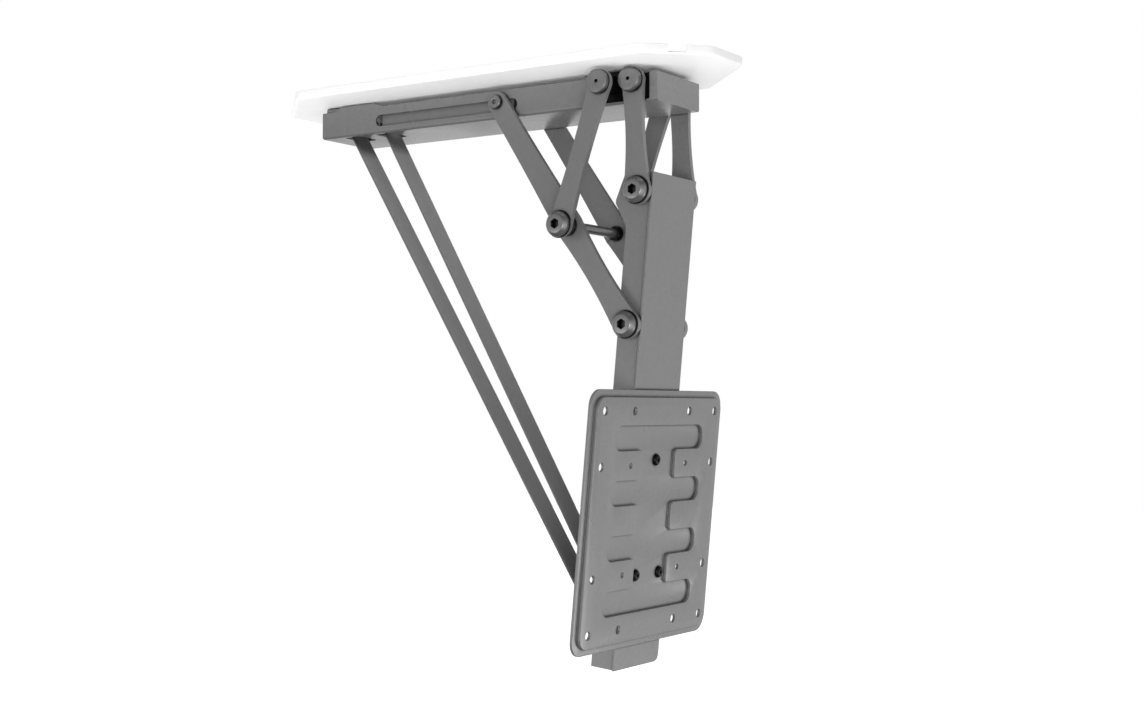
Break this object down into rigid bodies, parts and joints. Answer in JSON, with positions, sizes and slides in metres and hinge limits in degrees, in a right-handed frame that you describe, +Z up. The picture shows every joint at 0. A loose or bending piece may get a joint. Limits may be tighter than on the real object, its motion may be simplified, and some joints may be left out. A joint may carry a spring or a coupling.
{
  "type": "tv lift mechanism",
  "caption": "Ceiling flip-down screen lift: a channel under a ceiling pan, a folding linkage with a lifting belt, and a leaning column that carries a pressed screen plate.",
  "frame": {"origin": "Middle of the face that lies against the ceiling, at the level of the rim of the ceiling pan and of the mounting plate.", "axes": "+Z is up, -Y is the side the screen faces, +X is to the right seen from behind the screen."},
  "size_m": [0.238, 0.5336, 0.5647],
  "materials": {
    "steel": "satin",
    "black_steel": "satin",
    "zinc": "satin",
    "bolt_steel": "satin",
    "white_paint": "satin",
    "webbing": "matte",
    "nylon": "matte"
  },
  "bodies": {
    "frame": {"ceiling_pan": "white_paint", "mount_plate": "zinc", "frame_channel": "steel", "hanger_bridge_front": "steel", "hanger_bridge_back": "steel", "hanger_bolt_1": "zinc", "hanger_bolt_2": "zinc", "hanger_bolt_3": "zinc", "hanger_bolt_4": "zinc", "pivot_bracket_left": "black_steel", "pivot_bracket_right": "black_steel", "guide_rail_left": "steel", "guide_rail_right": "steel", "front_pivot_cap_left": "steel", "front_pivot_cap_right": "steel", "rear_pivot_cap_left": "steel", "rear_pivot_cap_right": "steel", "front_pivot_shaft": "bolt_steel", "rear_pivot_shaft": "bolt_steel", "motor_body": "black_steel", "gearbox": "zinc", "winch_plate": "steel", "belt_anchor_bar": "zinc", "control_box": "nylon"},
    "drum": {"belt_drum": "nylon", "belt_roll": "webbing", "drum_shaft": "zinc"},
    "belt_back": {"belt_run_back": "webbing"},
    "belt_front": {"belt_run_front": "webbing"},
    "brace_links": {"brace_link_left": "steel", "brace_link_right": "steel"},
    "slider_links": {"slider_link_left": "steel", "slider_link_right": "steel", "cross_shaft": "steel", "cross_spacer_left": "bolt_steel", "cross_spacer_right": "bolt_steel", "cross_bolt_left": "steel", "cross_bolt_right": "steel", "slider_pin_left": "steel", "slider_pin_right": "steel"},
    "slide_rollers": {"slide_roller_left": "nylon", "slide_roller_right": "nylon"},
    "top_links": {"top_link_left": "steel", "top_link_right": "steel", "upper_bolt_left": "steel", "upper_bolt_right": "steel"},
    "column": {"column_channel": "steel", "column_cover": "steel", "upper_column_shaft": "bolt_steel", "lower_column_shaft": "bolt_steel", "lower_bolt_left": "steel", "lower_bolt_right": "steel", "belt_roller_axle": "zinc", "vesa_plate": "steel", "plate_screw_1": "bolt_steel", "plate_screw_2": "bolt_steel", "plate_screw_3": "bolt_steel"},
    "belt_roller": {"belt_roller": "nylon"},
    "belt_wrap": {"belt_wrap": "webbing"}
  },
  "joints": [
    {"name": "fold", "type": "hinge", "parent": "frame", "child": "brace_links", "pos_m": [0, -0.15685, -0.023], "axis": [1, 0, 0], "range_deg": [0, 54.66]},
    {"name": "cross_pivot", "type": "hinge", "parent": "brace_links", "child": "slider_links", "pos_m": [0, -0.11286, -0.15157], "axis": [1, 0, 0], "range_deg": [-97.43, 0]},
    {"name": "lower_column_pivot", "type": "hinge", "parent": "slider_links", "child": "column", "pos_m": [0, -0.17609, -0.24604], "axis": [1, 0, 0], "range_deg": [0, 127.16]},
    {"name": "slide_roller_pivot", "type": "hinge", "parent": "slider_links", "child": "slide_rollers", "pos_m": [0, -0.02915, -0.0265], "axis": [1, 0, 0], "range_deg": [0, 42.77]},
    {"name": "top_link_pivot", "type": "hinge", "parent": "frame", "child": "top_links", "pos_m": [0, -0.18305, -0.0214], "axis": [1, 0, 0], "range_deg": [-47.08, 0]},
    {"name": "belt_back_swing", "type": "hinge", "parent": "frame", "child": "belt_back", "pos_m": [0, 0.16075, -0.026], "axis": [1, 0, 0], "range_deg": [0, 13.37], "deforming": ["belt_run_back"]},
    {"name": "belt_front_swing", "type": "hinge", "parent": "frame", "child": "belt_front", "pos_m": [0, 0.13075, -0.026], "axis": [1, 0, 0], "range_deg": [0, 33.15], "deforming": ["belt_run_front"]},
    {"name": "drum_turn", "type": "hinge", "parent": "frame", "child": "drum", "pos_m": [0, 0.16075, -0.026], "axis": [1, 0, 0], "range_deg": [0, 4738.94]},
    {"name": "belt_roller_turn", "type": "hinge", "parent": "column", "child": "belt_roller", "pos_m": [0, -0.14637, -0.52528], "axis": [1, 0, 0], "range_deg": [0, 2957.06]},
    {"name": "belt_wrap_turn", "type": "hinge", "parent": "column", "child": "belt_wrap", "pos_m": [0, -0.14637, -0.52528], "axis": [1, 0, 0], "range_deg": [-61.15, 0]}
  ],
  "couplings": [
    {"joint": "cross_pivot", "follows": "fold", "ratio": -1.7824},
    {"joint": "lower_column_pivot", "follows": "fold", "ratio": 2.3262},
    {"joint": "slide_roller_pivot", "follows": "fold", "ratio": 0.78235},
    {"joint": "top_link_pivot", "follows": "fold", "ratio": -0.86121},
    {"joint": "belt_back_swing", "follows": "fold", "ratio": 0.24437},
    {"joint": "belt_front_swing", "follows": "fold", "ratio": 0.60629},
    {"joint": "drum_turn", "follows": "fold", "ratio": 86.7},
    {"joint": "belt_roller_turn", "follows": "fold", "ratio": 54.1},
    {"joint": "belt_wrap_turn", "follows": "fold", "ratio": -1.1186}
  ]
}
